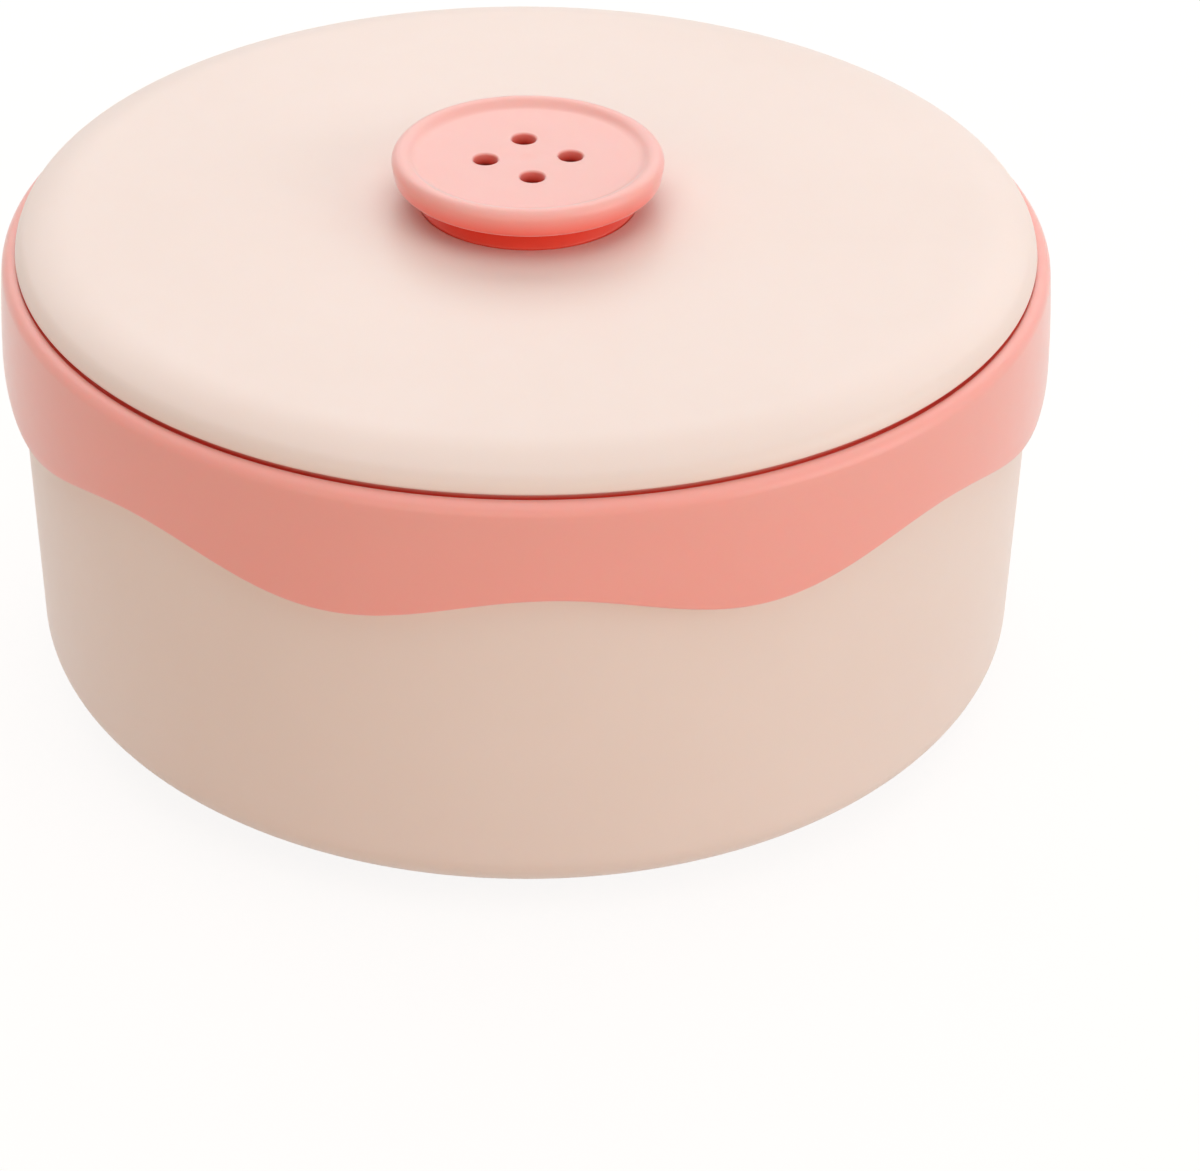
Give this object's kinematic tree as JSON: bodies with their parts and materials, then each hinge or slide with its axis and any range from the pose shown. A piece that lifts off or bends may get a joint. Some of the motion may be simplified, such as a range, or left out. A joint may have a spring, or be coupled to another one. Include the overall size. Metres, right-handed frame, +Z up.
{
  "type": "sewing box",
  "caption": "Round lidded sewing box with a scalloped collar, a button-shaped knob, and a lift-out tray that carries reels of thread on pegs over a deep lower compartment.",
  "frame": {"origin": "centre of the flat foot that the box stands on", "axes": "+Z up along the box's own axis, -Y towards the front of the box, +X to the right seen from the front"},
  "size_m": [0.2038, 0.2038, 0.1081],
  "materials": {
    "cream_plastic": "satin moulded plastic, fine matt grain",
    "coral_plastic": "satin moulded plastic",
    "coral_tray_plastic": "satin moulded plastic",
    "screw_steel": "zinc plated steel",
    "reel_plastic": "glossy moulded plastic, slightly translucent",
    "thread_orange": "wound polyester sewing thread",
    "thread_dark_green": "wound polyester sewing thread",
    "thread_navy": "wound polyester sewing thread",
    "thread_black": "wound polyester sewing thread",
    "thread_peach": "wound polyester sewing thread",
    "thread_taupe": "wound polyester sewing thread",
    "thread_green": "wound polyester sewing thread",
    "thread_blush": "wound polyester sewing thread",
    "thread_yellow": "wound polyester sewing thread",
    "thread_amber": "wound polyester sewing thread",
    "thread_pink": "wound polyester sewing thread",
    "thread_caramel": "wound polyester sewing thread"
  },
  "bodies": {
    "box": {"tub": "cream_plastic", "collar": "coral_plastic"},
    "tray": {"inner_tray": "coral_tray_plastic"},
    "lid": {"lid": "cream_plastic", "knob": "coral_plastic", "knob_screw": "screw_steel"},
    "reel_01": {"reel_01": "reel_plastic", "thread_01": "thread_orange"},
    "reel_02": {"reel_02": "reel_plastic", "thread_02": "thread_dark_green"},
    "reel_03": {"reel_03": "reel_plastic", "thread_03": "thread_navy"},
    "reel_04": {"reel_04": "reel_plastic", "thread_04": "thread_black"},
    "reel_05": {"reel_05": "reel_plastic", "thread_05": "thread_peach"},
    "reel_06": {"reel_06": "reel_plastic", "thread_06": "thread_taupe"},
    "reel_07": {"reel_07": "reel_plastic", "thread_07": "thread_green"},
    "reel_08": {"reel_08": "reel_plastic", "thread_08": "thread_blush"},
    "reel_09": {"reel_09": "reel_plastic", "thread_09": "thread_yellow"},
    "reel_10": {"reel_10": "reel_plastic", "thread_10": "thread_amber"},
    "reel_11": {"reel_11": "reel_plastic", "thread_11": "thread_pink"},
    "reel_12": {"reel_12": "reel_plastic", "thread_12": "thread_caramel"}
  },
  "joints": [
    {"name": "inner_tray_lift", "type": "slide", "parent": "box", "child": "tray", "axis": [0, 0, 1], "range_m": [0, 0.07]},
    {"name": "lid_lift", "type": "slide", "parent": "tray", "child": "lid", "axis": [0, 0, 1], "range_m": [0, 0.11]},
    {"name": "reel_01_turn", "type": "hinge", "parent": "tray", "child": "reel_01", "pos_m": [0.07534, 0.02019, 0.0603], "axis": [0, 0, 1], "continuous": true},
    {"name": "reel_02_turn", "type": "hinge", "parent": "tray", "child": "reel_02", "pos_m": [0.05515, 0.05515, 0.0603], "axis": [0, 0, 1], "continuous": true},
    {"name": "reel_03_turn", "type": "hinge", "parent": "tray", "child": "reel_03", "pos_m": [0.02019, 0.07534, 0.0603], "axis": [0, 0, 1], "continuous": true},
    {"name": "reel_04_turn", "type": "hinge", "parent": "tray", "child": "reel_04", "pos_m": [-0.02019, 0.07534, 0.0603], "axis": [0, 0, 1], "continuous": true},
    {"name": "reel_05_turn", "type": "hinge", "parent": "tray", "child": "reel_05", "pos_m": [-0.05515, 0.05515, 0.0603], "axis": [0, 0, 1], "continuous": true},
    {"name": "reel_06_turn", "type": "hinge", "parent": "tray", "child": "reel_06", "pos_m": [-0.07534, 0.02019, 0.0603], "axis": [0, 0, 1], "continuous": true},
    {"name": "reel_07_turn", "type": "hinge", "parent": "tray", "child": "reel_07", "pos_m": [-0.07534, -0.02019, 0.0603], "axis": [0, 0, 1], "continuous": true},
    {"name": "reel_08_turn", "type": "hinge", "parent": "tray", "child": "reel_08", "pos_m": [-0.05515, -0.05515, 0.0603], "axis": [0, 0, 1], "continuous": true},
    {"name": "reel_09_turn", "type": "hinge", "parent": "tray", "child": "reel_09", "pos_m": [-0.02019, -0.07534, 0.0603], "axis": [0, 0, 1], "continuous": true},
    {"name": "reel_10_turn", "type": "hinge", "parent": "tray", "child": "reel_10", "pos_m": [0.02019, -0.07534, 0.0603], "axis": [0, 0, 1], "continuous": true},
    {"name": "reel_11_turn", "type": "hinge", "parent": "tray", "child": "reel_11", "pos_m": [0.05515, -0.05515, 0.0603], "axis": [0, 0, 1], "continuous": true},
    {"name": "reel_12_turn", "type": "hinge", "parent": "tray", "child": "reel_12", "pos_m": [0.07534, -0.02019, 0.0603], "axis": [0, 0, 1], "continuous": true}
  ]
}
